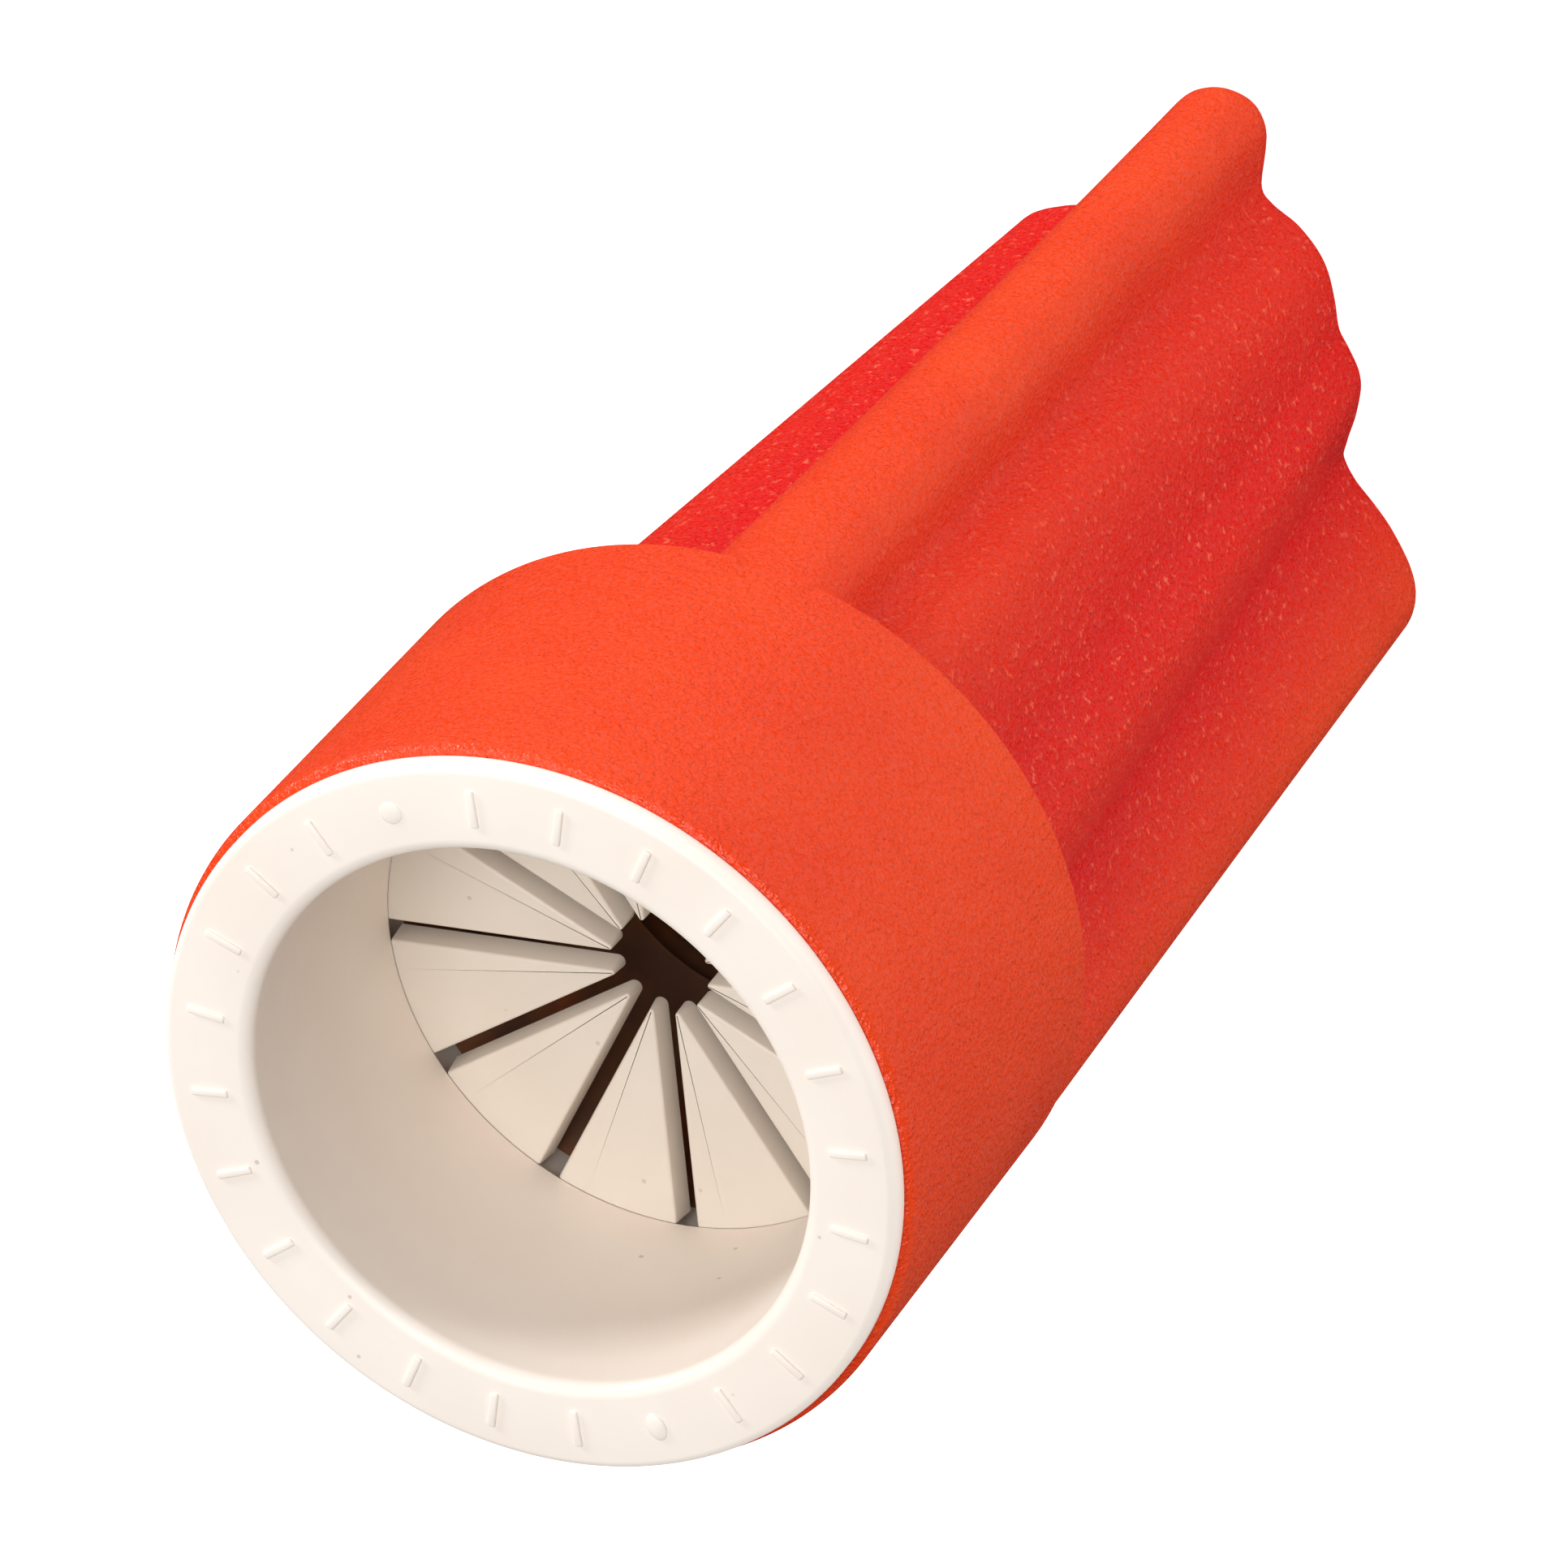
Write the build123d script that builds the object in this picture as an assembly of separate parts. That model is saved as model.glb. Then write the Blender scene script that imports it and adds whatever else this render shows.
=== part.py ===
from build123d import *
from math import asin, atan, cos, degrees, radians, sin, sqrt, tan
import os

# Twist wire connector for direct burial: shell, mouth insert, twelve petals, coil and sealant.
# Millimetres. The connector stands on its closed tip with its mouth up: +Z runs along its axis and
# out of the mouth, and the origin is the centre of the flat tip. One wing points along -Y.

# ---- overall ----
shell_length = 39.0
bore_radius = 7.05          # room for the wires; every wall round the mouth is added to it
insert_wall = 1.05
insert_fit_gap = 0.02
collar_wall = 1.38          # orange plastic round the insert

# ---- outer shell ----
collar_length = 10.4
collar_taper = 0.12         # the collar narrows this much from the mouth to the shoulder
wing_taper = 0.58           # and the wing crowns this much from the shoulder to the tip
tip_rounding = 1.1          # rounding of the closed end
run_out_length = 1.3        # axial length over which a flute climbs to the collar
floor_thickness = 2.2       # solid plastic under the sealant
valley_wall_at_shoulder = 0.97
valley_wall_at_tip = 1.34
wing_count = 3
front_wing_angle = 270.0
straight_steps = 10         # bands between them, so that the long flutes are meshed evenly
rounding_steps = 7          # bands that draw each quarter round of the tip and of the run-out

# One third of the fluted body, from the middle of a wing round to the next one: angle from the wing
# in degrees, then how far the surface stands from the valley floor (0) to the crown (1), at the
# shoulder and at the tip
flute_profile = [
    (0.0, 1.00, 1.000),     # crown of the wing
    (8.0, 0.98, 0.920),     # trailing edge of the wing
    (14.0, 0.82, 0.610),    # its flank
    (20.0, 0.42, 0.225),
    (28.0, 0.02, 0.015),    # foot of the flank
    (36.0, 0.00, 0.000),    # the deepest valley
    (46.0, 0.19, 0.055),
    (55.0, 0.29, 0.105),    # crest of the small lobe
    (64.0, 0.16, 0.080),
    (70.0, 0.09, 0.070),    # shallow valley
    (78.0, 0.18, 0.150),
    (88.0, 0.40, 0.265),
    (98.0, 0.65, 0.320),    # crown of the broad lobe
    (107.0, 0.50, 0.340),   # its foot against the next wing
    (111.0, 0.53, 0.440),
    (114.5, 0.86, 0.840),   # leading edge of the next wing
]

# ---- mouth insert ----
flange_height = 0.65
flange_setback = 0.22       # the flange stays this far inside the collar's edge
flange_edge_rounding = 0.22
bore_edge_rounding = 0.35
insert_tail_length = 0.6    # how far the tube reaches below the petals
petal_socket_relief = 0.31  # wider bore from the petals down, free of their swinging root corners
petal_lip_gap = 0.02        # under the small lip where the bore ends

# ---- petals ----
petal_count = 12
petal_depth = 6.9           # from the shell's mouth face to the front of the petals
petal_thickness = 0.65
petal_root_gap = 0.31       # from the petal roots to the wall of that wider bore
petal_nose_radius = 1.25    # distance of a petal's nose from the axis
slit_width_front = 0.56
slit_width_back = 0.38
first_petal_angle = 3.0
petal_open_angle = 60.0
petal_swing_clearance = 0.5

# ---- coil ----
coil_wire_side = 1.0        # square wire, turned so that one edge bites inward
coil_pitch = 1.9
coil_bottom_height = 7.5    # centre of the wire at its lower end
coil_core_clearance = 0.0929   # from the sealant pocket out to the inner edge of the lower coil
coil_top_mean_radius = 4.0
coil_seat_gap = 0.1
coil_end_gap = 0.1

# ---- sealant ----
sealant_pocket_radius = 2.15
sealant_top_height = 17.5
sealant_dish_depth = 0.8
sealant_coil_gap = 0.06

# ---- worked-out heights and radii ----
shoulder_height = shell_length - collar_length
petal_front_height = shell_length - petal_depth
hinge_height = petal_front_height - petal_thickness
insert_bottom_height = hinge_height - insert_tail_length
insert_tube_radius = bore_radius + insert_wall
seat_radius = insert_tube_radius + insert_fit_gap
mouth_outer_radius = seat_radius + collar_wall
flange_radius = mouth_outer_radius - flange_setback
petal_socket_radius = bore_radius + petal_socket_relief
petal_root_radius = petal_socket_radius - petal_root_gap
petal_reach = petal_root_radius - petal_nose_radius

open_slope = 1 / tan(radians(petal_open_angle))
petal_drop = petal_reach * sin(radians(petal_open_angle))
funnel_bottom_height = hinge_height - petal_drop - petal_swing_clearance
funnel_offset = petal_swing_clearance / sin(radians(petal_open_angle))
funnel_bottom_radius = petal_root_radius + funnel_offset - (hinge_height - funnel_bottom_height) * open_slope

wire_half_diagonal = coil_wire_side / sqrt(2)
coil_bottom_mean_radius = sealant_pocket_radius + coil_core_clearance + wire_half_diagonal
coil_reach = wire_half_diagonal + coil_seat_gap
coil_top_height = funnel_bottom_height - coil_end_gap - wire_half_diagonal
coil_slope = (coil_top_mean_radius - coil_bottom_mean_radius) / (coil_top_height - coil_bottom_height)
coil_seat_bottom_height = coil_bottom_height - wire_half_diagonal - coil_end_gap


def coil_mean_radius(height):
    return coil_bottom_mean_radius + (height - coil_bottom_height) * coil_slope


# ---- the flutes lie between these four radii ----
coil_seat_bottom_radius = coil_mean_radius(coil_seat_bottom_height) + coil_reach
funnel_slope = (petal_socket_radius - funnel_bottom_radius) / (insert_bottom_height - funnel_bottom_height)
funnel_radius_at_shoulder = funnel_bottom_radius + (shoulder_height - funnel_bottom_height) * funnel_slope
crown_radius_at_shoulder = mouth_outer_radius - collar_taper
crown_radius_at_tip = crown_radius_at_shoulder - wing_taper
valley_radius_at_shoulder = funnel_radius_at_shoulder + valley_wall_at_shoulder
valley_radius_at_tip = coil_seat_bottom_radius + valley_wall_at_tip


def polar(radius, angle, height=0.0):
    return (radius * cos(radians(angle)), radius * sin(radians(angle)), height)


def between(start, end, share):
    return start + (end - start) * share


def body_section(height, inset=0.0, rise=0.0):
    """Closed outline of the shell; inset rounds the tip and rise lifts the flutes up to the collar."""
    share = height / shoulder_height
    collar_share = max(0.0, (height - shoulder_height) / collar_length)
    crown_radius = between(crown_radius_at_tip, crown_radius_at_shoulder, min(share, 1.0))
    crown_radius += collar_taper * collar_share
    points = []
    for wing in range(wing_count):
        for angle, shoulder_lift, tip_lift in flute_profile:
            radius_at_shoulder = between(valley_radius_at_shoulder, crown_radius_at_shoulder, shoulder_lift)
            radius_at_tip = between(valley_radius_at_tip, crown_radius_at_tip, tip_lift)
            radius = between(radius_at_tip, radius_at_shoulder, share)
            radius = between(radius, crown_radius, rise)
            turn = front_wing_angle + (wing + angle / 120.0) * 360.0 / wing_count
            points.append(Vector(*polar(radius - inset, turn, height)))
    return Face(Wire([Edge.make_spline(points, periodic=True)]))


def make_body():
    """The shell without its cavity: rounded tip, flutes, their run-out at the shoulder, collar."""
    sections = []
    for step in range(rounding_steps):
        turn = radians(90.0 * step / rounding_steps)
        inset = tip_rounding * (1 - sin(turn))
        sections.append(body_section(tip_rounding * (1 - cos(turn)), inset=inset))
    straight_top = shoulder_height - run_out_length
    for step in range(straight_steps):
        height = tip_rounding + (straight_top - tip_rounding) * step / straight_steps
        sections.append(body_section(height))
    for step in range(rounding_steps + 1):
        turn = radians(90.0 * step / rounding_steps)
        height = shoulder_height - run_out_length * (1 - sin(turn))
        sections.append(body_section(height, rise=1 - cos(turn)))
    sections.append(body_section(shell_length, rise=1.0))
    return loft(sections, ruled=True)


def revolved(outline):
    """Solid of revolution about Z from (radius, height) corners."""
    profile = Polyline(*[(radius, 0, height) for radius, height in outline], close=True)
    return revolve(make_face(profile), Axis.Z)


def make_shell():
    cavity = revolved([
        (0, shell_length + flange_height),
        (seat_radius, shell_length + flange_height),
        (seat_radius, insert_bottom_height),
        (petal_socket_radius, insert_bottom_height),
        (funnel_bottom_radius, funnel_bottom_height),
        (coil_mean_radius(funnel_bottom_height) + coil_reach, funnel_bottom_height),
        (coil_seat_bottom_radius, coil_seat_bottom_height),
        (sealant_pocket_radius, coil_seat_bottom_height),
        (sealant_pocket_radius, floor_thickness),
        (0, floor_thickness),
    ])
    return make_body() - cavity


def make_insert():
    insert = revolved([
        (petal_socket_radius, insert_bottom_height),
        (insert_tube_radius, insert_bottom_height),
        (insert_tube_radius, shell_length),
        (flange_radius, shell_length),
        (flange_radius, shell_length + flange_height),
        (bore_radius, shell_length + flange_height),
        (bore_radius, petal_front_height + petal_lip_gap),
        (petal_socket_radius, petal_front_height + petal_lip_gap),
    ])
    face_edges = insert.faces().sort_by(Axis.Z)[-1].edges().sort_by(SortBy.RADIUS)
    insert = fillet(face_edges[-1], flange_edge_rounding)
    face_edges = insert.faces().sort_by(Axis.Z)[-1].edges().sort_by(SortBy.RADIUS)
    return fillet(face_edges[0], bore_edge_rounding)


def petal_outline(slit_width, height):
    """A petal that points at the axis from +X: arc at the root, two slit edges, round nose."""
    half_sector = 180.0 / petal_count
    half_slit = slit_width / 2
    apex = half_slit / sin(radians(half_sector))
    nose_rounding = (petal_nose_radius - apex) / (1 / sin(radians(half_sector)) - 1)
    nose_centre = petal_nose_radius + nose_rounding
    tangent_x = nose_centre - nose_rounding * sin(radians(half_sector))
    tangent_y = nose_rounding * cos(radians(half_sector))
    root_angle = half_sector - degrees(asin(half_slit / petal_root_radius))
    root_right = polar(petal_root_radius, -root_angle, height)
    root_left = polar(petal_root_radius, root_angle, height)
    edges = [
        ThreePointArc(root_right, (petal_root_radius, 0, height), root_left),
        Line(root_left, (tangent_x, tangent_y, height)),
        ThreePointArc((tangent_x, tangent_y, height), (petal_nose_radius, 0, height),
                      (tangent_x, -tangent_y, height)),
        Line((tangent_x, -tangent_y, height), root_right),
    ]
    return Face(Wire(edges))


def make_petal(angle):
    back = petal_outline(slit_width_back, hinge_height)
    front = petal_outline(slit_width_front, petal_front_height)
    return Rot(0, 0, angle) * loft([back, front], ruled=True)


def make_coil():
    height = coil_top_height - coil_bottom_height
    path = Helix(
        pitch=coil_pitch,
        height=height,
        radius=coil_bottom_mean_radius,
        center=(0, 0, coil_bottom_height),
        cone_angle=degrees(atan(coil_slope)),
    )
    wire_plane = Plane(origin=path @ 0, z_dir=path % 0, x_dir=(1, 0, 0))
    wire_section = wire_plane * Rectangle(coil_wire_side, coil_wire_side, rotation=45)
    return sweep(wire_section, path=path, is_frenet=True)


def make_sealant():
    def core_radius(height):
        return coil_mean_radius(height) - wire_half_diagonal - sealant_coil_gap

    rim_radius = core_radius(sealant_top_height)
    dish_sphere = (rim_radius ** 2 + sealant_dish_depth ** 2) / (2 * sealant_dish_depth)
    half_rise = dish_sphere - sqrt(dish_sphere ** 2 - (rim_radius / 2) ** 2)
    rim = (rim_radius, 0, sealant_top_height)
    pocket_rim = (sealant_pocket_radius, 0, coil_seat_bottom_height)
    dish_bottom = (0, 0, sealant_top_height - sealant_dish_depth)
    dish_middle = (rim_radius / 2, 0, dish_bottom[2] + half_rise)
    outline = [
        Line(dish_bottom, (0, 0, floor_thickness)),
        Line((0, 0, floor_thickness), (sealant_pocket_radius, 0, floor_thickness)),
        Line((sealant_pocket_radius, 0, floor_thickness), pocket_rim),
        Line(pocket_rim, rim),
        ThreePointArc(rim, dish_middle, dish_bottom),
    ]
    return revolve(Face(Wire(outline)), Axis.Z)


os.makedirs("parts", exist_ok=True)

export_step(make_shell(), "parts/outer_shell.step")
export_step(make_insert(), "parts/mouth_insert.step")
export_step(make_coil(), "parts/wire_spring.step")
export_step(make_sealant(), "parts/sealant.step")
for number in range(petal_count):
    petal = make_petal(first_petal_angle + number * 360.0 / petal_count)
    export_step(petal, f"parts/petal_{number + 1:02d}.step")
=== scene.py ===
# %% [markdown]
# # A twist wire connector for damp places
#
# The real object is one orange polypropylene shell with three wings, an off-white nylon insert in its
# mouth, twelve petals that close the bore, a coil of square steel wire and a dollop of silicone gel.
# The CAD model gives every size. Here each moulding is modelled again, with the soft edges that a steel
# mould leaves, and gets its finish.

# %% Load the frame
from math import atan2, cos, degrees, pi, radians, sin

import bmesh
import bpy
from mathutils import Matrix, Vector


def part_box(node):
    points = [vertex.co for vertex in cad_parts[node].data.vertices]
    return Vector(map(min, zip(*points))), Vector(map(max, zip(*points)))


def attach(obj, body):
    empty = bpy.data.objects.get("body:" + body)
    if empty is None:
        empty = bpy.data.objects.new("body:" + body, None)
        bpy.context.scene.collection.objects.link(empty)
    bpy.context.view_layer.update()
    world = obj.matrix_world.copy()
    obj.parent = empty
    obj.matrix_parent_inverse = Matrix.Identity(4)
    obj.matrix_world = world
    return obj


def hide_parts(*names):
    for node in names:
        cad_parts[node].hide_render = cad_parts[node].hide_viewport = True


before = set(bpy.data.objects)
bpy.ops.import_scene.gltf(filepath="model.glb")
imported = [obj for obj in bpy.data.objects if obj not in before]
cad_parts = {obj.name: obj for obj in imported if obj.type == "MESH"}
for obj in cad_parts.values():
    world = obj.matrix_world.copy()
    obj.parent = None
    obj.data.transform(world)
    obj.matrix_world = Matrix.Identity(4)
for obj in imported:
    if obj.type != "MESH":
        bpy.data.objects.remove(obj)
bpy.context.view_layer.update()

MM = 0.001

# %% [markdown]
# ## Heights that everything else uses
#
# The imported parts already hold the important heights, so they are read from the boxes of the nodes. Only
# sizes that no box can show, such as a wall or a rounding, are written down, in millimetres.

# %% Heights and radii from the frame
shell_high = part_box("outer_shell")[1]
insert_low, insert_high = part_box("mouth_insert")
petal_low, petal_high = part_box("petal_01")
gel_low, gel_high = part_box("sealant")
MOUTH = shell_high[2] / MM
MARK_HEIGHT = 0.09
RING_FACE = insert_high[2] / MM - MARK_HEIGHT
INSERT_BOTTOM = insert_low[2] / MM
PETAL_FRONT = petal_high[2] / MM
PETAL_BACK = petal_low[2] / MM
FLOOR_INSIDE = gel_low[2] / MM
MOUTH_RADIUS = 9.5
SHOULDER = 28.6
SHOULDER_RADIUS = 9.38
TIP_CROWN_RADIUS = 8.8
TIP_ROUNDING = 1.1
RUN_OUT = 1.3
RING_RADIUS = insert_high[0] / MM
BORE_RADIUS = 7.05
print("mouth", MOUTH, "ring face", RING_FACE, "petals", PETAL_BACK, PETAL_FRONT, "ring radius", RING_RADIUS)

# %% [markdown]
# ## The flutes of the shell
#
# Between two wings the shell has a deep valley, a small lobe, a shallow valley and a broad lobe. A mould
# maker would draw that as one smooth curve through a few points, so the section is a list of points and a
# smooth curve through them. Each point says how far the surface stands from the valley floor (0) to the
# wing's crown (1). One list is for the shoulder and one for the tip, and the flutes run straight between.

# %% One third of the section
FRONT_WING = 270.0
WING_COUNT = 3
SECTOR = 360.0 / WING_COUNT
VALLEY_AT_SHOULDER = 7.01
VALLEY_AT_TIP = 5.05
FLUTE_PROFILE = [
    (0.0, 1.00, 1.000),     # crown of the wing
    (8.0, 0.98, 0.920),     # trailing edge of the wing
    (14.0, 0.82, 0.610),    # its flank
    (20.0, 0.42, 0.225),
    (28.0, 0.02, 0.015),    # foot of the flank
    (36.0, 0.00, 0.000),    # the deepest valley
    (46.0, 0.19, 0.055),
    (55.0, 0.29, 0.105),    # crest of the small lobe
    (64.0, 0.16, 0.080),
    (70.0, 0.09, 0.070),    # shallow valley
    (78.0, 0.18, 0.150),
    (88.0, 0.40, 0.265),
    (98.0, 0.65, 0.320),    # crown of the broad lobe
    (107.0, 0.50, 0.340),   # its foot against the next wing
    (111.0, 0.53, 0.440),
    (114.5, 0.86, 0.840),   # leading edge of the next wing
]


def smooth_share(angle, column):
    """Value of the profile at an angle from a wing's middle, on a curve that repeats every sector."""
    angle = angle % SECTOR
    count = len(FLUTE_PROFILE)
    right = next((i for i in range(count) if FLUTE_PROFILE[i][0] > angle), count)
    places = []
    for index in range(right - 2, right + 2):
        row = FLUTE_PROFILE[index % count]
        places.append((row[0] + SECTOR * (index // count), row[column]))
    (a0, v0), (a1, v1), (a2, v2), (a3, v3) = places
    width = a2 - a1
    slope_in = (v2 - v0) / (a2 - a0) * width
    slope_out = (v3 - v1) / (a3 - a1) * width
    t = (angle - a1) / width
    return (v1 * (2 * t**3 - 3 * t**2 + 1) + slope_in * (t**3 - 2 * t**2 + t)
            + v2 * (3 * t**2 - 2 * t**3) + slope_out * (t**3 - t**2))


def mix(start, end, share):
    return start + (end - start) * share


def shell_radius(angle, height, rise=0.0, inset=0.0):
    """Radius of the outside at an angle and height; rise lifts the flutes up to the collar."""
    from_wing = angle - FRONT_WING
    share = height / SHOULDER
    at_shoulder = mix(VALLEY_AT_SHOULDER, SHOULDER_RADIUS, smooth_share(from_wing, 1))
    at_tip = mix(VALLEY_AT_TIP, TIP_CROWN_RADIUS, smooth_share(from_wing, 2))
    crown = mix(TIP_CROWN_RADIUS, SHOULDER_RADIUS, min(share, 1.0))
    crown += (MOUTH_RADIUS - SHOULDER_RADIUS) * max(0.0, (height - SHOULDER) / (MOUTH - SHOULDER))
    return mix(mix(at_tip, at_shoulder, share), crown, rise) - inset


print("share beside the front wing:", round(smooth_share(28, 1), 3), round(smooth_share(28, 2), 3))

# %% [markdown]
# ## A helper that grows a skin ring by ring
#
# Both mouldings are closed skins round one axis. Growing them from one circle, by extruding its edge and
# moving the new ring to its next place, keeps the faces even and in order, which the fine grain needs.

# %% Grow rings from a circle
def start_ring(bm, segments):
    made = bmesh.ops.create_circle(bm, cap_ends=False, segments=segments, radius=1.0)
    return sorted(made["verts"], key=lambda vert: atan2(vert.co.y, vert.co.x))


def place_ring(ring, radius_at, height):
    """Moves a ring's points; radius_at is a number or a function of the angle in degrees."""
    for vert in ring:
        turn = atan2(vert.co.y, vert.co.x)
        radius = radius_at(degrees(turn)) if callable(radius_at) else radius_at
        vert.co = Vector((radius * cos(turn), radius * sin(turn), height)) * MM


def grow_ring(bm, ring, radius_at, height):
    """Extrudes the ring's edge once and puts the new ring in place."""
    inside = set(ring)
    edges = {edge for vert in ring for edge in vert.link_edges if edge.other_vert(vert) in inside}
    made = bmesh.ops.extrude_edge_only(bm, edges=list(edges))
    new_ring = [item for item in made["geom"] if isinstance(item, bmesh.types.BMVert)]
    place_ring(new_ring, radius_at, height)
    return new_ring


def close_ring(bm, ring, height):
    """Closes a ring with a small fan round the axis."""
    last = grow_ring(bm, ring, 0.02, height)
    bmesh.ops.contextual_create(bm, geom=last)


def finish_piece(bm, name, smooth_angle=40.0):
    """Turns the bmesh into an object with outward faces and smooth shading up to an angle."""
    bmesh.ops.recalc_face_normals(bm, faces=bm.faces)
    for face in bm.faces:
        face.smooth = True
    for edge in bm.edges:
        edge.smooth = not edge.is_manifold or edge.calc_face_angle(0.0) < radians(smooth_angle)
    mesh = bpy.data.meshes.new(name)
    bm.to_mesh(mesh)
    bm.free()
    piece = bpy.data.objects.new(name, mesh)
    bpy.context.scene.collection.objects.link(piece)
    print(name, "faces:", len(mesh.polygons))
    return piece


# %% [markdown]
# ## The orange shell
#
# It is one moulding, so it is one skin: up the outside from the tip, over the shoulder and the collar,
# over the mouth and down the cavity to the floor. The CAD shell could simply be shown, but its tip and
# shoulder are made of flat bands. The new skin has the same sections with finer rings, and the collar's
# outer edge at the mouth gets the small rounding that a mould leaves.

# %% Rings of the outside
SHELL_SEGMENTS = 480
TIP_RINGS = 10
FLUTE_RINGS = 26
RUN_OUT_RINGS = 12
COLLAR_RINGS = 10
MOUTH_EDGE = 0.25
MOUTH_EDGE_RINGS = 5


def outside_rings():
    """Rows of (height, rise, inset) from the flat tip to the mouth."""
    rows = []
    for step in range(TIP_RINGS + 1):
        turn = radians(90.0 * step / TIP_RINGS)
        rows.append((TIP_ROUNDING * (1 - cos(turn)), 0.0, TIP_ROUNDING * (1 - sin(turn))))
    straight_top = SHOULDER - RUN_OUT
    for step in range(1, FLUTE_RINGS + 1):
        rows.append((mix(TIP_ROUNDING, straight_top, step / FLUTE_RINGS), 0.0, 0.0))
    for step in range(1, RUN_OUT_RINGS + 1):
        turn = radians(90.0 * step / RUN_OUT_RINGS)
        rows.append((straight_top + RUN_OUT * sin(turn), 1 - cos(turn), 0.0))
    for step in range(1, COLLAR_RINGS + 1):
        rows.append((mix(SHOULDER, MOUTH - MOUTH_EDGE, step / COLLAR_RINGS), 1.0, 0.0))
    for step in range(1, MOUTH_EDGE_RINGS + 1):
        turn = radians(90.0 * step / MOUTH_EDGE_RINGS)
        rows.append((MOUTH - MOUTH_EDGE * (1 - sin(turn)), 1.0, MOUTH_EDGE * (1 - cos(turn))))
    return rows


print("rings up the outside:", len(outside_rings()))

# %% [markdown]
# The cavity is turned, so its rings are plain circles. From the mouth it has the seat of the insert, the
# cone that leaves room for the opened petals, the long cone that holds the coil, and the pocket of gel.

# %% Make the shell
SEAT_RADIUS = 8.12
SOCKET_RADIUS = 7.36
FUNNEL_BOTTOM = 25.93
FUNNEL_RADIUS = 4.44
COIL_SEAT_TOP_RADIUS = 4.87
COIL_SEAT_BOTTOM_RADIUS = 3.71
COIL_SEAT_BOTTOM = 6.69
POCKET_RADIUS = 2.15
CAVITY = [
    (SEAT_RADIUS, MOUTH), (SEAT_RADIUS, INSERT_BOTTOM), (SOCKET_RADIUS, INSERT_BOTTOM),
    (FUNNEL_RADIUS, FUNNEL_BOTTOM), (COIL_SEAT_TOP_RADIUS, FUNNEL_BOTTOM),
    (COIL_SEAT_BOTTOM_RADIUS, COIL_SEAT_BOTTOM), (POCKET_RADIUS, COIL_SEAT_BOTTOM),
    (POCKET_RADIUS, FLOOR_INSIDE),
]


def valley_share(vert):
    """1 on the floor of the deepest valley, 0 on a wing's crown or the collar."""
    height = vert.co.z / MM
    share = min(height / SHOULDER, 1.0)
    crown = mix(TIP_CROWN_RADIUS, SHOULDER_RADIUS, share)
    floor = mix(VALLEY_AT_TIP, VALLEY_AT_SHOULDER, share)
    return min(max((crown - vert.co.xy.length / MM) / (crown - floor), 0.0), 1.0)


def make_shell():
    bm = bmesh.new()
    rows = outside_rings()
    first = start_ring(bm, SHELL_SEGMENTS)
    place_ring(first, lambda angle: shell_radius(angle, *rows[0]), rows[0][0])
    ring = first
    for row in rows[1:]:
        ring = grow_ring(bm, ring, lambda angle, row=row: shell_radius(angle, *row), row[0])
    outside = set(bm.faces)
    for radius, height in CAVITY:
        ring = grow_ring(bm, ring, radius, height)
    close_ring(bm, ring, FLOOR_INSIDE)
    for face in set(bm.faces) - outside:
        face.material_index = 1
    tip = first
    for share in (0.8, 0.5, 0.2):
        tip = grow_ring(bm, tip, lambda angle, share=share: share * shell_radius(angle, *rows[0]), 0.0)
    close_ring(bm, tip, 0.0)
    # The depth of the valleys is kept as an attribute; the finish uses it for painted shade and painted
    # glints.
    valley = bm.verts.layers.float.new("valley")
    for vert in bm.verts:
        vert[valley] = valley_share(vert)
    return finish_piece(bm, "shell_moulding")


shell = make_shell()
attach(shell, "shell")
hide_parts("outer_shell")

# %% [markdown]
# ## The mouth insert
#
# A round shape: a profile of the ring and its tube, grown ring by ring like the shell. On the real face
# stand small raised marks from the mould. Plain short bars stand for them, as on a knurled ring, with
# one round boss and one broken-off moulding gate between them.

# %% Profile of the insert
INSERT_SEGMENTS = 256
RING_EDGE = 0.22
BORE_EDGE = 0.35
TUBE_RADIUS = 8.1
RING_BACK_EDGE = 0.05
LIP_UNDERSIDE = PETAL_FRONT + 0.02


def arc_points(centre_radius, centre_height, size, first_turn, last_turn, steps):
    """Points on a rounding, as (radius, height)."""
    points = []
    for step in range(steps + 1):
        turn = radians(mix(first_turn, last_turn, step / steps))
        points.append((centre_radius + size * cos(turn), centre_height + size * sin(turn)))
    return points


def insert_profile():
    points = [(SOCKET_RADIUS, INSERT_BOTTOM), (TUBE_RADIUS, INSERT_BOTTOM), (TUBE_RADIUS, MOUTH)]
    points.append((RING_RADIUS - RING_BACK_EDGE, MOUTH))
    points += arc_points(RING_RADIUS - RING_BACK_EDGE, MOUTH + RING_BACK_EDGE, RING_BACK_EDGE,
                         -90, 0, 3)[1:]
    points += arc_points(RING_RADIUS - RING_EDGE, RING_FACE - RING_EDGE, RING_EDGE, 0, 90, 8)
    points += arc_points(BORE_RADIUS + BORE_EDGE, RING_FACE - BORE_EDGE, BORE_EDGE, 90, 180, 10)
    for step in range(1, 8):
        points.append((BORE_RADIUS, mix(RING_FACE - BORE_EDGE, LIP_UNDERSIDE, step / 7)))
    points.append((SOCKET_RADIUS, LIP_UNDERSIDE))
    return points


def make_insert():
    bm = bmesh.new()
    ring = start_ring(bm, INSERT_SEGMENTS)
    profile = insert_profile()
    place_ring(ring, *profile[0])
    first = ring
    for radius, height in profile[1:]:
        ring = grow_ring(bm, ring, radius, height)
    ends = [edge for vert in first + ring for edge in vert.link_edges if edge.is_boundary]
    bmesh.ops.bridge_loops(bm, edges=list(set(ends)))
    return finish_piece(bm, "insert_ring")


insert = make_insert()
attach(insert, "shell")
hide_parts("mouth_insert")

# %% [markdown]
# The marks stand just proud of the ring face, so that their tops reach the full height of the part.

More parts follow.
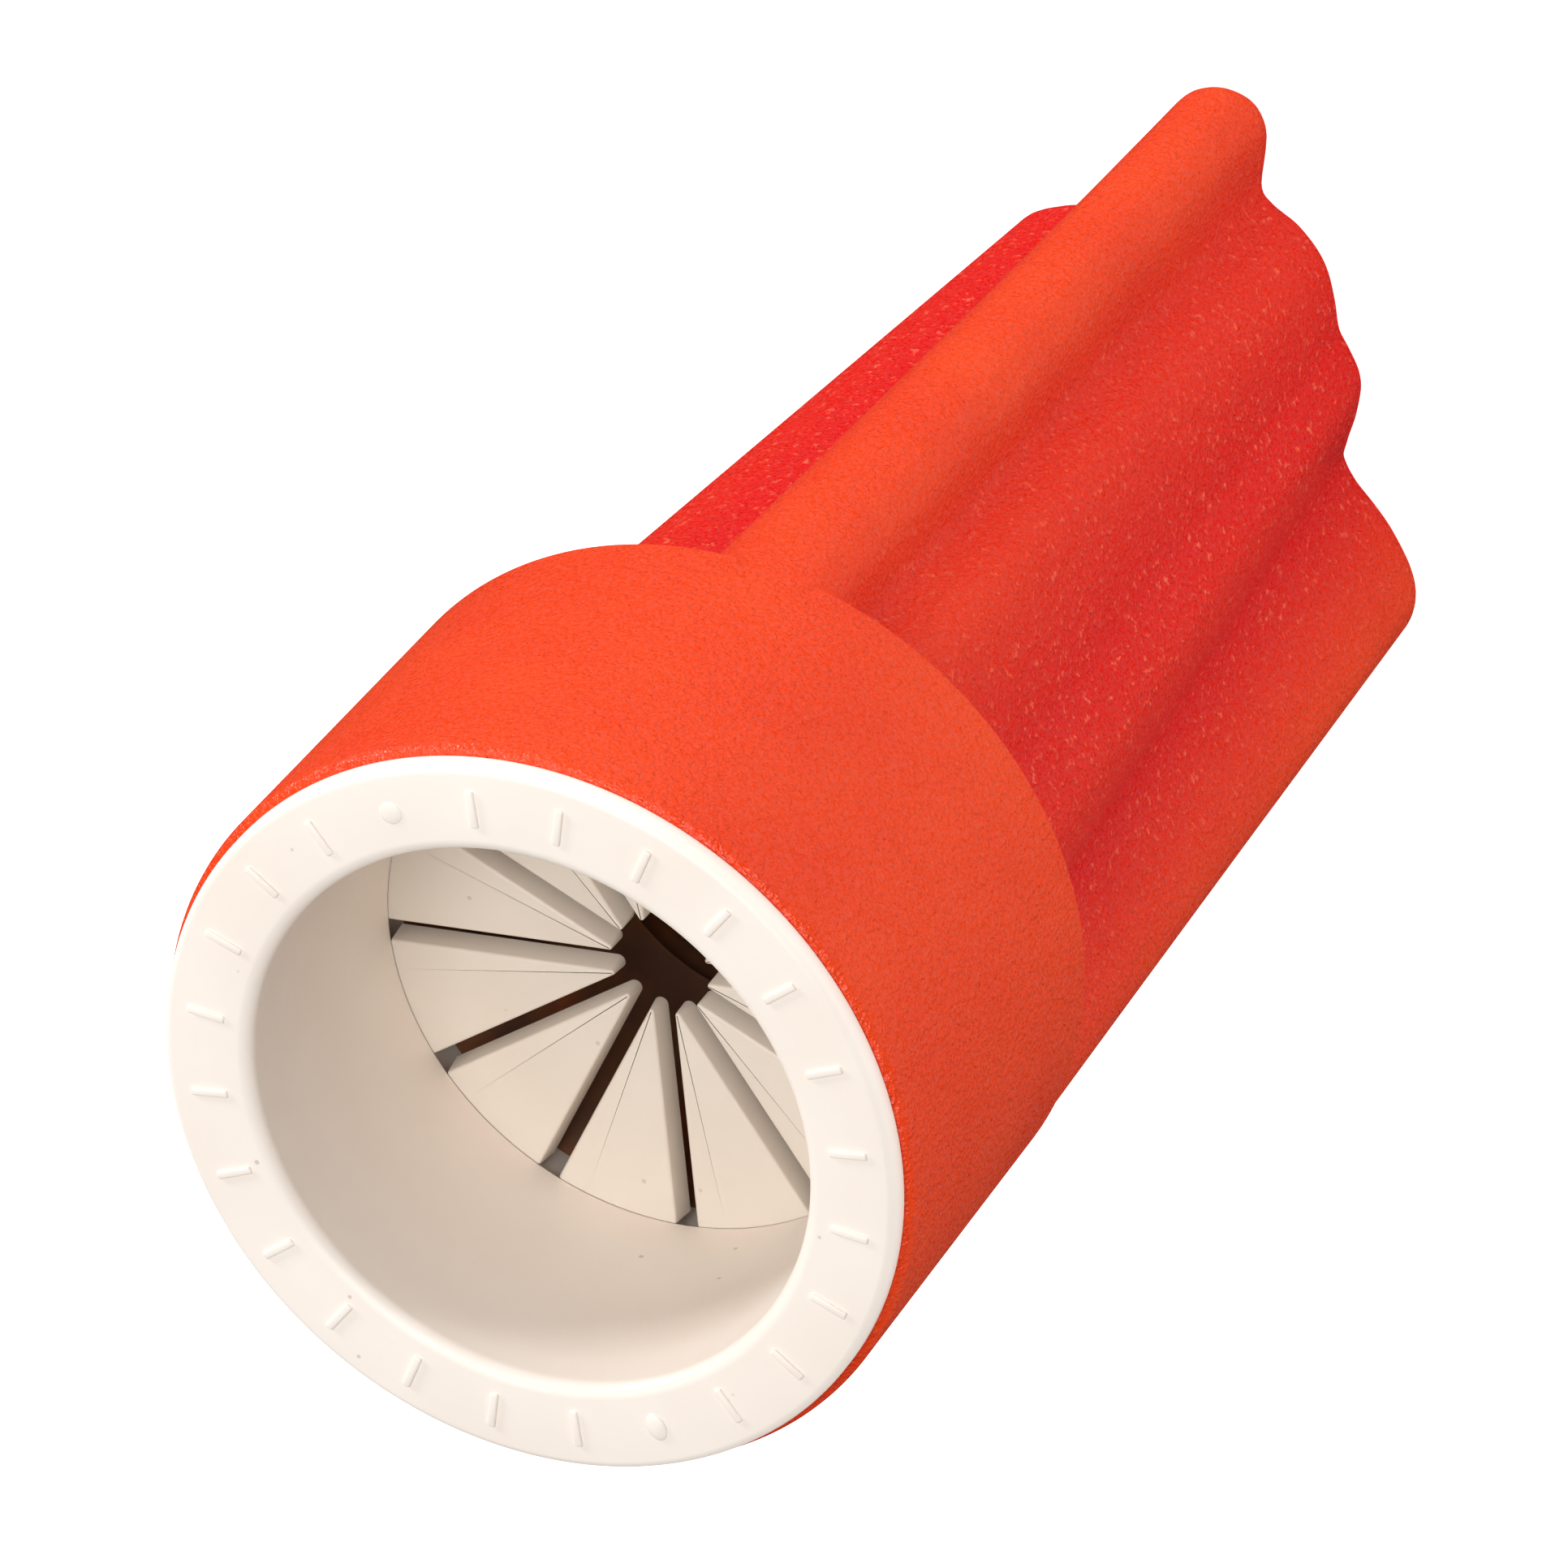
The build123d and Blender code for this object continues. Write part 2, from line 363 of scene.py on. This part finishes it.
# %% Raised bars, boss and gate mark on the ring face
BAR_COUNT = 24
BAR_RADIUS = 8.2
BAR_SIZE = (0.95, 0.20, 0.07)
FIRST_BAR = 6.0
BOSS_ANGLE = 306.0
GATE_ANGLE = 126.0


def make_bars():
    """Short rounded bars, evenly spaced, leaving out the places of the boss and the gate mark."""
    bm = bmesh.new()
    length, width, height = BAR_SIZE
    for number in range(BAR_COUNT):
        angle = FIRST_BAR + number * 360.0 / BAR_COUNT
        if angle in (BOSS_ANGLE, GATE_ANGLE):
            continue
        bar = bmesh.ops.create_cube(bm, size=1.0)["verts"]
        bmesh.ops.scale(bm, vec=Vector((length, width, 2 * height)) * MM, verts=bar)
        top = [edge for edge in {e for v in bar for e in v.link_edges} if max(v.co.z for v in edge.verts) > 0]
        bevelled = bmesh.ops.bevel(bm, geom=top, offset=0.05 * MM, offset_type="OFFSET", segments=3,
                                   profile=0.5, affect="EDGES", material=-1)
        made = set(bar) | set(bevelled["verts"])
        made = [vert for vert in made if vert.is_valid]
        bmesh.ops.translate(bm, vec=Vector((BAR_RADIUS, 0, RING_FACE)) * MM, verts=made)
        bmesh.ops.rotate(bm, cent=(0, 0, 0), matrix=Matrix.Rotation(radians(angle), 3, "Z"), verts=made)
    return finish_piece(bm, "insert_raised_bars")


bars = make_bars()
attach(bars, "shell")


def make_boss(name, angle, radius, height, squash):
    """A low round button on the ring face, squashed across for the broken gate."""
    bm = bmesh.new()
    bmesh.ops.create_uvsphere(bm, u_segments=32, v_segments=16, radius=radius * MM)
    bmesh.ops.scale(bm, vec=Vector((1.0, squash, height / radius)), verts=bm.verts)
    bmesh.ops.translate(bm, vec=Vector((BAR_RADIUS, 0, RING_FACE)) * MM, verts=bm.verts)
    bmesh.ops.rotate(bm, cent=(0, 0, 0), matrix=Matrix.Rotation(radians(angle), 3, "Z"), verts=bm.verts)
    piece = finish_piece(bm, name)
    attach(piece, "shell")
    return piece


boss = make_boss("insert_boss", BOSS_ANGLE, 0.28, 0.06, 1.0)
gate = make_boss("insert_gate_mark", GATE_ANGLE, 0.36, MARK_HEIGHT, 0.7)

# %% [markdown]
# ## The petals
#
# Each petal is a flat wedge with a rounded nose. Its outline is drawn once, extruded to its thickness and
# narrowed at the front, because the slits widen towards the mouth, and its front edges are softened.

# %% Make twelve petals
PETAL_COUNT = 12
FIRST_PETAL = 3.0
NOSE_RADIUS = 1.25
SLIT_FRONT = 0.56
SLIT_BACK = 0.38
PETAL_EDGE = 0.07


def petal_outline(slit):
    """Points round a petal that points at the axis from +X: root arc, slit edge, nose arc, slit edge."""
    half = pi / PETAL_COUNT
    nose = (NOSE_RADIUS - slit / 2 / sin(half)) / (1 / sin(half) - 1)
    root = half - slit / 2 / BORE_RADIUS
    points = []
    for step in range(13):
        turn = mix(-root, root, step / 12)
        points.append((BORE_RADIUS * cos(turn), BORE_RADIUS * sin(turn)))
    for step in range(13):
        turn = mix(pi / 2 + half, 3 * pi / 2 - half, step / 12)
        points.append((NOSE_RADIUS + nose + nose * cos(turn), nose * sin(turn)))
    return points


def make_petal(number):
    bm = bmesh.new()
    back = [bm.verts.new(Vector((x, y, PETAL_BACK)) * MM) for x, y in petal_outline(SLIT_BACK)]
    base = bm.faces.new(back)
    made = bmesh.ops.extrude_face_region(bm, geom=[base], use_keep_orig=True)
    front = [item for item in made["geom"] if isinstance(item, bmesh.types.BMVert)]
    front_places = {}
    for (x, y), (fx, fy) in zip(petal_outline(SLIT_BACK), petal_outline(SLIT_FRONT)):
        front_places[(round(x, 4), round(y, 4))] = (fx, fy)
    for vert in front:
        fx, fy = front_places[(round(vert.co.x / MM, 4), round(vert.co.y / MM, 4))]
        vert.co = Vector((fx, fy, PETAL_FRONT)) * MM
    rim = [edge for edge in bm.edges if all(v.co.z > (PETAL_FRONT - 0.01) * MM for v in edge.verts)]
    rim = [edge for edge in rim if min(v.co.xy.length for v in edge.verts) < (BORE_RADIUS - 0.05) * MM]
    bmesh.ops.bevel(bm, geom=rim, offset=PETAL_EDGE * MM, offset_type="OFFSET", segments=3,
                    profile=0.5, affect="EDGES", material=-1)
    turn = Matrix.Rotation(radians(FIRST_PETAL + number * 360.0 / PETAL_COUNT), 3, "Z")
    bmesh.ops.rotate(bm, cent=(0, 0, 0), matrix=turn, verts=bm.verts)
    piece = finish_piece(bm, f"petal_wedge_{number + 1:02d}")
    node = f"petal_{number + 1:02d}"
    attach(piece, node)
    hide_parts(node)
    return piece


petals = [make_petal(number) for number in range(PETAL_COUNT)]

# %% [markdown]
# ## Helpers for the finishes
#
# A finish is a small tree of nodes. One function adds a node with its settings and its links, and another
# turns the familiar hex colour of a paint chart into the linear numbers that the shader wants.

# %% Material helpers
def hex_colour(text):
    """Linear RGBA from an sRGB hex value."""
    channels = [int(text[i:i + 2], 16) / 255 for i in (0, 2, 4)]
    linear = [c / 12.92 if c <= 0.04045 else ((c + 0.055) / 1.055) ** 2.4 for c in channels]
    return (*linear, 1.0)


def add_node(tree, kind, settings=None, **inputs):
    """Adds a node; an input is a value or another node's output."""
    node = tree.nodes.new(kind)
    for key, value in (settings or {}).items():
        setattr(node, key, value)
    for key, value in inputs.items():
        socket = node.inputs[int(key[1:])] if key[1:].isdigit() else node.inputs[key.replace("_", " ")]
        if isinstance(value, bpy.types.NodeSocket):
            tree.links.new(value, socket)
        else:
            socket.default_value = value
    return node


def new_material(name):
    material = bpy.data.materials.new(name)
    material.use_nodes = True
    tree = material.node_tree
    shader = tree.nodes["Principled BSDF"]
    place = add_node(tree, "ShaderNodeTexCoord").outputs["Object"]
    return material, tree, shader, place


def ramp_node(tree, value, stops):
    """A colour ramp with stops of (position, hex colour)."""
    ramp = add_node(tree, "ShaderNodeValToRGB", Fac=value)
    elements = ramp.color_ramp.elements
    while len(elements) < len(stops):
        elements.new(0.5)
    for element, (position, colour) in zip(elements, stops):
        element.position = position
        element.color = hex_colour(colour)
    return ramp.outputs["Color"]


def per_metre(millimetres):
    """Noise scale whose features are about this many millimetres apart."""
    return 1.0 / (millimetres * MM)


# %% [markdown]
# ## Orange polypropylene with a spark-eroded grain
#
# The shell is moulded in a steel tool whose surface was eroded by sparks, which leaves a fine even grain.
# Under a soft light the plastic looks saturated orange, and each tiny facet that faces the lamp sparkles.
# Two noises make the grain: one of about 0.2 mm, and a finer one for the glints. The pale specks are
# Pale specks on the grain are painted glints, strongest in the valleys, and the valleys are painted a deeper
# red as painted shade.

# %% Orange polypropylene
GRAIN = 0.20
GLINT = 0.09


def orange_polypropylene():
    material, tree, shader, place = new_material("polypropylene_orange_eroded_grain")
    valley = add_node(tree, "ShaderNodeAttribute", {"attribute_name": "valley"}).outputs["Fac"]
    clouds = add_node(tree, "ShaderNodeTexNoise", Vector=place, Scale=per_metre(4.0), Detail=3.0)
    grain = add_node(tree, "ShaderNodeTexNoise", Vector=place, Scale=per_metre(GRAIN), Detail=2.0,
                     Roughness=0.6)
    glint = add_node(tree, "ShaderNodeTexNoise", Vector=place, Scale=per_metre(GLINT), Detail=1.0)
    crest = ramp_node(tree, clouds.outputs["Fac"], [(0.3, "EA3A0A"), (0.7, "F0440E")])
    # Painted shade: the valleys are coloured a deeper red (E20A04) for the shade and red bounce light that
    # fall in them.
    painted_valley_shade = add_node(tree, "ShaderNodeMix", {"data_type": "RGBA"})
    tree.links.new(valley, painted_valley_shade.inputs["Factor"])
    tree.links.new(crest, painted_valley_shade.inputs["A"])
    painted_valley_shade.inputs["B"].default_value = hex_colour("E20A04")
    colour = painted_valley_shade.outputs["Result"]
    # Painted glints: pale specks (FF6E4C) on the grain stand in for sparkle highlights and are strongest in
    # the valleys.
    painted_glint_strength = add_node(tree, "ShaderNodeMapRange", Value=valley, To_Min=0.12, To_Max=0.80)
    painted_glints = add_node(tree, "ShaderNodeMapRange", Value=grain.outputs["Fac"], From_Min=0.60, From_Max=0.70)
    tree.links.new(painted_glint_strength.outputs["Result"], painted_glints.inputs["To Max"])
    # The painted glints mix the pale colour into the orange.
    tint = add_node(tree, "ShaderNodeMix", {"data_type": "RGBA"}, Factor=0.0)
    tree.links.new(painted_glints.outputs["Result"], tint.inputs["Factor"])
    tree.links.new(colour, tint.inputs["A"])
    tint.inputs["B"].default_value = hex_colour("FF6E4C")
    tree.links.new(tint.outputs["Result"], shader.inputs["Base Color"])
    rough = add_node(tree, "ShaderNodeMapRange", Value=glint.outputs["Fac"], From_Min=0.35, From_Max=0.65,
                     To_Min=0.42, To_Max=0.22)
    tree.links.new(rough.outputs["Result"], shader.inputs["Roughness"])
    coarse = add_node(tree, "ShaderNodeBump", Height=grain.outputs["Fac"], Strength=1.0, Distance=0.11 * MM)
    fine = add_node(tree, "ShaderNodeBump", Height=glint.outputs["Fac"], Strength=1.0, Distance=0.04 * MM,
                    Normal=coarse.outputs["Normal"])
    tree.links.new(fine.outputs["Normal"], shader.inputs["Normal"])
    shader.inputs["IOR"].default_value = 1.49
    return material


# %% [markdown]
# ## Off-white nylon
#
# The insert is smoother than the shell and slightly warm, with a faint moulded skin and a few dust specks.
# The thin petals lie deep in the bore; their copy of the nylon is painted darker than the ring, as painted
# shade.

# %% Off-white nylon
def white_nylon(name, darker, lighter):
    material, tree, shader, place = new_material(name)
    clouds = add_node(tree, "ShaderNodeTexNoise", Vector=place, Scale=per_metre(5.0), Detail=3.0)
    dust = add_node(tree, "ShaderNodeTexVoronoi", Vector=place, Scale=per_metre(1.3))
    dust_size = add_node(tree, "ShaderNodeMapRange", Value=dust.outputs["Distance"], From_Min=0.035,
                         From_Max=0.06, To_Min=0.55, To_Max=0.0)
    base = ramp_node(tree, clouds.outputs["Fac"], [(0.3, darker), (0.7, lighter)])
    tint = add_node(tree, "ShaderNodeMix", {"data_type": "RGBA"})
    tree.links.new(dust_size.outputs["Result"], tint.inputs["Factor"])
    tree.links.new(base, tint.inputs["A"])
    tint.inputs["B"].default_value = hex_colour("B9A892")
    tree.links.new(tint.outputs["Result"], shader.inputs["Base Color"])
    skin = add_node(tree, "ShaderNodeTexNoise", Vector=place, Scale=per_metre(0.35), Detail=3.0)
    rough = add_node(tree, "ShaderNodeMapRange", Value=skin.outputs["Fac"], To_Min=0.40, To_Max=0.55)
    tree.links.new(rough.outputs["Result"], shader.inputs["Roughness"])
    bump = add_node(tree, "ShaderNodeBump", Height=skin.outputs["Fac"], Strength=0.10, Distance=0.03 * MM)
    tree.links.new(bump.outputs["Normal"], shader.inputs["Normal"])
    shader.inputs["IOR"].default_value = 1.53
    return material


# %% [markdown]
# ## Steel wire and silicone gel
#
# The coil is drawn spring steel, grey with a slightly uneven skin. The gel is brown and wet, with lumps.

# %% Drawn steel and silicone gel
def drawn_steel():
    material, tree, shader, place = new_material("spring_steel_drawn_wire")
    lines = add_node(tree, "ShaderNodeTexNoise", Vector=place, Scale=per_metre(0.25), Detail=4.0)
    colour = ramp_node(tree, lines.outputs["Fac"], [(0.3, "7D766E"), (0.7, "A29B92")])
    tree.links.new(colour, shader.inputs["Base Color"])
    rough = add_node(tree, "ShaderNodeMapRange", Value=lines.outputs["Fac"], To_Min=0.28, To_Max=0.45)
    tree.links.new(rough.outputs["Result"], shader.inputs["Roughness"])
    shader.inputs["Metallic"].default_value = 1.0
    return material


def silicone_gel():
    material, tree, shader, place = new_material("silicone_gel_olive_brown")
    lumps = add_node(tree, "ShaderNodeTexNoise", Vector=place, Scale=per_metre(0.8), Detail=4.0)
    colour = ramp_node(tree, lumps.outputs["Fac"], [(0.35, "2A2015"), (0.65, "54452B")])
    tree.links.new(colour, shader.inputs["Base Color"])
    bump = add_node(tree, "ShaderNodeBump", Height=lumps.outputs["Fac"], Strength=0.7, Distance=0.3 * MM)
    tree.links.new(bump.outputs["Normal"], shader.inputs["Normal"])
    rough = add_node(tree, "ShaderNodeMapRange", Value=lumps.outputs["Fac"], To_Min=0.2, To_Max=0.4)
    tree.links.new(rough.outputs["Result"], shader.inputs["Roughness"])
    shader.inputs["IOR"].default_value = 1.41
    return material


def painted_shade_polypropylene():
    """The inside of the shell: the same plastic, painted dark brown in uneven patches as painted shade inside
    the cavity.
    """
    material, tree, shader, place = new_material("polypropylene_orange_inside_painted_shade")
    shade_patches = add_node(tree, "ShaderNodeTexNoise", Vector=place, Scale=per_metre(2.5), Detail=3.0)
    colour = ramp_node(tree, shade_patches.outputs["Fac"], [(0.38, "7A5440"), (0.55, "96603F"), (0.72, "C06A3C")])
    tree.links.new(colour, shader.inputs["Base Color"])
    rough = add_node(tree, "ShaderNodeMapRange", Value=shade_patches.outputs["Fac"], To_Min=0.25, To_Max=0.6)
    tree.links.new(rough.outputs["Result"], shader.inputs["Roughness"])
    shader.inputs["IOR"].default_value = 1.41
    return material


# %% Give each piece its finish
def dress(pieces, *materials):
    for piece in pieces:
        for material in materials:
            piece.data.materials.append(material)
    print(len(pieces), "pieces get", [material.name for material in materials])


# The cavity faces take the second finish: the orange plastic painted dark brown as painted shade.
dress([shell], orange_polypropylene(), painted_shade_polypropylene())
dress([insert, bars, boss, gate], white_nylon("nylon_off_white_satin_moulded", "FBEEE2", "FFF5EB"))
# The petals get a darker copy of the nylon: painted shade for their place deep in the bore.
dress(petals, white_nylon("nylon_off_white_petal_painted_shade", "DCD0C2", "E2D7CA"))
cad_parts["wire_spring"].material_slots[0].material = drawn_steel()
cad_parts["sealant"].material_slots[0].material = silicone_gel()

# %% [markdown]
# ## Floor, light and camera
#
# A product picture is taken in a light tent: a glowing white floor, small lamps from the left, the tip's
# side and the right, a large soft one near the camera, and an even surround. The camera looks down into
# the mouth through a long lens, so that the far end hardly shrinks, and it is rolled, because the
# connector lies across the view.

# %% Floor
def make_floor():
    bm = bmesh.new()
    bmesh.ops.create_grid(bm, x_segments=2, y_segments=2, size=2.0)
    mesh = bpy.data.meshes.new("studio_floor")
    bm.to_mesh(mesh)
    bm.free()
    floor = bpy.data.objects.new("studio_floor", mesh)
    bpy.context.scene.collection.objects.link(floor)
    paper, _, shader, _ = new_material("matt_white_paper")
    shader.inputs["Base Color"].default_value = hex_colour("F4F4F4")
    shader.inputs["Roughness"].default_value = 0.9
    shader.inputs["Emission Color"].default_value = hex_colour("FFFFFF")
    shader.inputs["Emission Strength"].default_value = 1.0
    floor.data.materials.append(paper)
    floor.visible_glossy = False
    return floor


floor = make_floor()

# %% [markdown]
# The camera's own right, up and back are kept, because the lamps are placed by them.

# %% Camera
CAMERA_PLACE = Vector((-66.16, -166.93, 251.96)) * MM
CAMERA_FORWARD = Vector((0.22974, 0.57403, -0.78594))
CAMERA_ROLL = -139.12
CAMERA_LENS = 277.38


def make_camera():
    data = bpy.data.cameras.new("studio_camera")
    data.lens = CAMERA_LENS
    data.sensor_width = 36.0
    data.clip_start = 0.01
    camera = bpy.data.objects.new("studio_camera", data)
    turn = CAMERA_FORWARD.to_track_quat("-Z", "Y").to_matrix().to_4x4()
    roll = Matrix.Rotation(radians(CAMERA_ROLL), 4, "Z")
    camera.matrix_world = Matrix.Translation(CAMERA_PLACE) @ turn @ roll
    bpy.context.scene.collection.objects.link(camera)
    bpy.context.scene.camera = camera
    return camera


camera = make_camera()
camera_axes = camera.matrix_world.to_3x3()
PICTURE_RIGHT = camera_axes @ Vector((1, 0, 0))
PICTURE_UP = camera_axes @ Vector((0, 1, 0))
TO_CAMERA = camera_axes @ Vector((0, 0, 1))
print("picture up in the part's frame:", [round(value, 3) for value in PICTURE_UP])

# %% [markdown]
# The lamps are placed by the view itself: to its right, up, and towards the camera.

# %% Lights
def add_lamp(name, right, up, towards, size, power):
    """A square soft lamp, placed by the picture's own right, up and towards-the-camera, in metres."""
    data = bpy.data.lights.new(name, "AREA")
    data.shape = "SQUARE"
    data.size = size
    data.energy = power
    lamp = bpy.data.objects.new(name, data)
    middle = Vector((0, 0, 20)) * MM
    place = middle + PICTURE_RIGHT * right + PICTURE_UP * up + TO_CAMERA * towards
    turn = (middle - place).to_track_quat("-Z", "Y").to_matrix().to_4x4()
    lamp.matrix_world = Matrix.Translation(place) @ turn
    bpy.context.scene.collection.objects.link(lamp)
    return lamp


add_lamp("left_lamp", -0.28, 0.16, 0.06, 0.06, 0.46)
add_lamp("tip_side_lamp", 0.20, 0.26, 0.10, 0.035, 0.80)
add_lamp("right_lamp", 0.30, 0.06, 0.10, 0.04, 0.34)
add_lamp("mouth_lamp", -0.12, -0.06, 0.30, 0.20, 0.74)


def make_surround():
    world = bpy.data.worlds.new("light_tent")
    world.use_nodes = True
    world.node_tree.nodes["Background"].inputs["Color"].default_value = hex_colour("FFFFFF")
    world.node_tree.nodes["Background"].inputs["Strength"].default_value = 0.30
    world.cycles_visibility.glossy = False
    bpy.context.scene.world = world


make_surround()
bpy.context.scene.view_settings.view_transform = "Standard"
